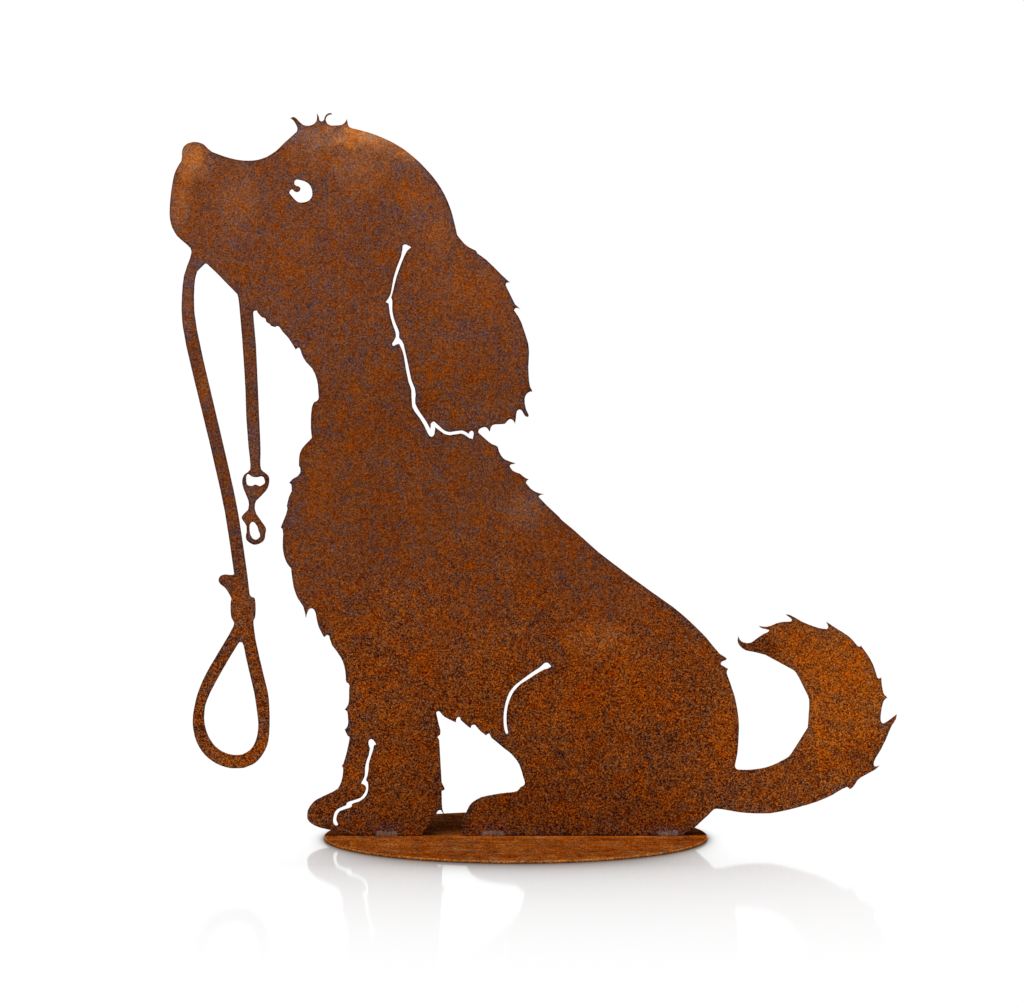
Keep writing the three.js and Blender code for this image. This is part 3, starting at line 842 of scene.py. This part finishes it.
def weld_material(settings):
    """Brushed-off weld metal: pinkish grey, with lighter crests and rust in the hollows."""
    material, tree, shader, place = new_material("weld_metal")
    specks = use_group(
        tree, grain_group(), Vector=place, Grain=1.0, Specks=0.05, Worms=0.05, Blotches=0.03, Warmth=0.04
    )
    crest = ramp(tree, clouds(tree, place, 700.0, 4.0, 0.7, 0.5, 0.2), 0.25, 1.2)
    body = blend_colours(tree, maths(tree, "MULTIPLY", crest, 0.6), settings.metal, settings.fleck)
    painted = use_group(tree, tint_group(), Color=body, Light=specks["Light"], Warm=specks["Warm"])
    roughness = maths(tree, "MULTIPLY_ADD", crest, -0.15, 0.6, clamp=True)
    shader.inputs["Specular IOR Level"].default_value = 0.15
    shader.inputs["Metallic"].default_value = 0.1
    connect(tree, shader, painted["Color"], roughness, specks["Height"], 0.05 * MM)
    return material


def weld_bead(node, settings, material, seed):
    """One low, lumpy bead: overlapping pools of metal melted together."""
    low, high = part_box(node)
    draw = random.Random(seed)
    step = (high.x - low.x) / BEAD_POOLS
    bpy.ops.object.select_all(action="DESELECT")
    first = True
    for index in range(BEAD_POOLS):
        width = step * draw.uniform(0.75, 1.0)
        centre = low.x + step * (index + 0.5) + draw.uniform(-0.1, 0.1) * step
        centre = min(max(centre, low.x + width), high.x - width)
        size = (
            width,
            settings.reach * draw.uniform(0.75, 1.0),
            settings.height * draw.uniform(0.72, 1.0),
        )
        place = (centre, sheet_low.y, base_high.z)
        bpy.ops.mesh.primitive_uv_sphere_add(
            segments=32, ring_count=16, radius=1.0, location=place, scale=size
        )
        if first:
            piece = bpy.context.active_object
            piece.name = piece.data.name = node.replace("_weld", "_bead")
            bpy.ops.object.transform_apply(location=True, rotation=True, scale=True)
            bpy.ops.object.mode_set(mode="EDIT")
            first = False
    bpy.ops.object.mode_set(mode="OBJECT")
    melt = piece.modifiers.new("melt", "REMESH")
    melt.mode = "VOXEL"
    melt.voxel_size = settings.voxel
    only(piece)
    bpy.ops.object.modifier_apply(modifier="melt")
    relax = piece.modifiers.new("relax", "SMOOTH")
    relax.iterations = 4
    bpy.ops.object.modifier_apply(modifier="relax")
    roughen(piece, "slag", 0.5 * MM, 1.6 * MM)
    enter(piece)
    bpy.ops.mesh.select_all(action="SELECT")
    bpy.ops.mesh.bisect(
        plane_co=(0.0, sheet_low.y + BEAD_CLEARANCE, 0.0),
        plane_no=(0.0, 1.0, 0.0),
        use_fill=True,
        clear_outer=True,
    )
    bpy.ops.mesh.select_all(action="SELECT")
    bpy.ops.mesh.bisect(
        plane_co=(0.0, 0.0, base_high.z - BEAD_CLEARANCE),
        plane_no=(0.0, 0.0, 1.0),
        use_fill=True,
        clear_inner=True,
    )
    leave()
    return finish_piece(piece, node, material)


class DOG_OT_weld_beads(bpy.types.Operator):
    """Adds the three weld beads along the foot of the sheet"""

    bl_idname = "rusted_dog.weld_beads"
    bl_label = "Weld Beads"
    bl_options = {"REGISTER", "UNDO"}

    def execute(self, context):
        settings = context.scene.dog_weld_settings
        material = weld_material(settings)
        for seed, node in enumerate(WELD_NODES, start=11):
            weld_bead(node, settings, material, seed)
        return {"FINISHED"}


# ---------------------------------------------------------------- the stage


def floor_material(settings):
    """White floor that mirrors a little beside the base and is shaded where the base touches it."""
    material = bpy.data.materials.new("studio_floor")
    material.use_nodes = True
    material.cycles.emission_sampling = "NONE"
    tree = material.node_tree
    tree.nodes.clear()
    outlet = tree.nodes.new("ShaderNodeOutputMaterial")
    glow = add_node(tree, "ShaderNodeEmission", None, {"Color": WHITE, "Strength": settings.floor})
    gloss = add_node(tree, "ShaderNodeBsdfGlossy", None, {"Color": WHITE, "Roughness": 0.06})
    place = tree.nodes.new("ShaderNodeTexCoord").outputs["Object"]
    radius = add_node(tree, "ShaderNodeVectorMath", {"operation": "LENGTH"}, {0: place}).outputs["Value"]
    beyond = maths(tree, "SUBTRACT", radius, base_high.x)
    beyond = maths(tree, "DIVIDE", beyond, -settings.mirror_reach)
    fade = maths(tree, "EXPONENT", beyond)
    share = maths(tree, "MULTIPLY", fade, settings.mirror, clamp=True)
    mixed = add_node(tree, "ShaderNodeMixShader", None, {0: share, 1: glow.outputs[0], 2: gloss.outputs[0]})

    away = parts(tree, place)[1]
    ahead = maths(tree, "DIVIDE", away, -base_high.x, clamp=True)
    ahead = maths(tree, "MULTIPLY", ahead, ahead)
    reach = maths(tree, "MULTIPLY_ADD", ahead, settings.contact_front, settings.contact_side)
    beyond = maths(tree, "SUBTRACT", base_high.x, radius)
    contact = maths(tree, "EXPONENT", maths(tree, "DIVIDE", beyond, reach))
    contact = maths(tree, "MULTIPLY", contact, CONTACT_DEPTH, clamp=True)
    dark = add_node(tree, "ShaderNodeEmission", None, {"Color": CONTACT_COLOUR, "Strength": 1.0})
    layers = {0: contact, 1: mixed.outputs[0], 2: dark.outputs[0]}
    shaded = add_node(tree, "ShaderNodeMixShader", None, layers)
    tree.links.new(shaded.outputs[0], outlet.inputs[0])
    return material


def studio_world(settings):
    """White all round to the eye, and dim as a light."""
    world = bpy.data.worlds.new("studio_world")
    bpy.context.scene.world = world
    world.use_nodes = True
    world.cycles.sampling_method = "NONE"
    tree = world.node_tree
    tree.nodes.clear()
    outlet = tree.nodes.new("ShaderNodeOutputWorld")
    path = tree.nodes.new("ShaderNodeLightPath").outputs
    seen = maths(tree, "MAXIMUM", path["Is Camera Ray"], path["Is Glossy Ray"])
    strength = add_node(
        tree, "ShaderNodeMapRange", None, {0: seen, 1: 0.0, 2: 1.0, 3: settings.ambient, 4: 1.02}
    ).outputs[0]
    back = add_node(tree, "ShaderNodeBackground", None, {"Color": WHITE, "Strength": strength})
    tree.links.new(back.outputs[0], outlet.inputs[0])


def sun(name, strength, azimuth, elevation, spread):
    """A soft light from far off. Azimuth 0 comes from the front."""
    lamp = bpy.data.lights.new(name, "SUN")
    lamp.energy = strength
    lamp.angle = spread
    holder = bpy.data.objects.new(name, lamp)
    bpy.context.collection.objects.link(holder)
    flat = math.cos(elevation)
    toward = Vector((math.sin(azimuth) * flat, -math.cos(azimuth) * flat, math.sin(elevation)))
    holder.rotation_euler = toward.to_track_quat("Z", "Y").to_euler()
    holder.location = toward * 3.0


def studio(settings):
    """Floor, world, lights and camera."""
    bpy.ops.object.select_all(action="DESELECT")
    bpy.ops.mesh.primitive_plane_add(size=60.0, location=(0.0, 0.0, 0.0))
    floor = bpy.context.active_object
    floor.name = floor.data.name = "studio_floor"
    floor.data.materials.append(floor_material(settings))
    studio_world(settings)
    sun("key_light", settings.key, math.radians(-8), math.radians(73), math.radians(28))
    sun("fill_light", settings.fill, math.radians(12), math.radians(32), math.radians(60))

    lens = bpy.data.cameras.new("camera")
    lens.lens = settings.focal
    lens.sensor_width = 36.0
    lens.clip_end = 100.0
    camera = bpy.data.objects.new("camera", lens)
    bpy.context.collection.objects.link(camera)
    aim = Vector((settings.aim_side, 0.0, settings.aim_height))
    back = Vector((0.0, -math.cos(settings.elevation), math.sin(settings.elevation)))
    camera.location = aim + back * settings.distance
    camera.rotation_euler = back.to_track_quat("Z", "Y").to_euler()
    bpy.context.scene.camera = camera
    bpy.context.scene.view_settings.view_transform = "Standard"


class DOG_OT_studio(bpy.types.Operator):
    """Adds the white floor, the soft light and the camera"""

    bl_idname = "rusted_dog.studio"
    bl_label = "Studio"
    bl_options = {"REGISTER", "UNDO"}

    def execute(self, context):
        studio(context.scene.dog_studio_settings)
        return {"FINISHED"}


class VIEW3D_PT_rusted_dog(bpy.types.Panel):
    """Lists the puppy's pieces and the studio"""

    bl_label = "Rusted Puppy"
    bl_idname = "VIEW3D_PT_rusted_dog"
    bl_space_type = "VIEW_3D"
    bl_region_type = "UI"
    bl_category = "Puppy"

    def draw(self, context):
        for operator, settings in (
            (DOG_OT_cut_sheet, context.scene.dog_sheet_settings),
            (DOG_OT_base_disc, context.scene.dog_base_settings),
            (DOG_OT_weld_beads, context.scene.dog_weld_settings),
            (DOG_OT_studio, context.scene.dog_studio_settings),
        ):
            box = self.layout.box()
            box.operator(operator.bl_idname)
            for name in settings.__annotations__:
                box.prop(settings, name)


SETTINGS = {
    "dog_sheet_settings": SheetSettings,
    "dog_base_settings": BaseSettings,
    "dog_weld_settings": WeldSettings,
    "dog_studio_settings": StudioSettings,
}
OPERATORS = (DOG_OT_cut_sheet, DOG_OT_base_disc, DOG_OT_weld_beads, DOG_OT_studio)


def register():
    for name, group in SETTINGS.items():
        bpy.utils.register_class(group)
        setattr(bpy.types.Scene, name, PointerProperty(type=group))
    for item in (*OPERATORS, VIEW3D_PT_rusted_dog):
        bpy.utils.register_class(item)


def unregister():
    for item in (VIEW3D_PT_rusted_dog, *reversed(OPERATORS)):
        bpy.utils.unregister_class(item)
    for name, group in reversed(SETTINGS.items()):
        delattr(bpy.types.Scene, name)
        bpy.utils.unregister_class(group)


def main():
    """Makes every piece and the studio."""
    register()
    bpy.ops.rusted_dog.cut_sheet()
    bpy.ops.rusted_dog.base_disc()
    bpy.ops.rusted_dog.weld_beads()
    bpy.ops.rusted_dog.studio()


if __name__ == "__main__":
    main()
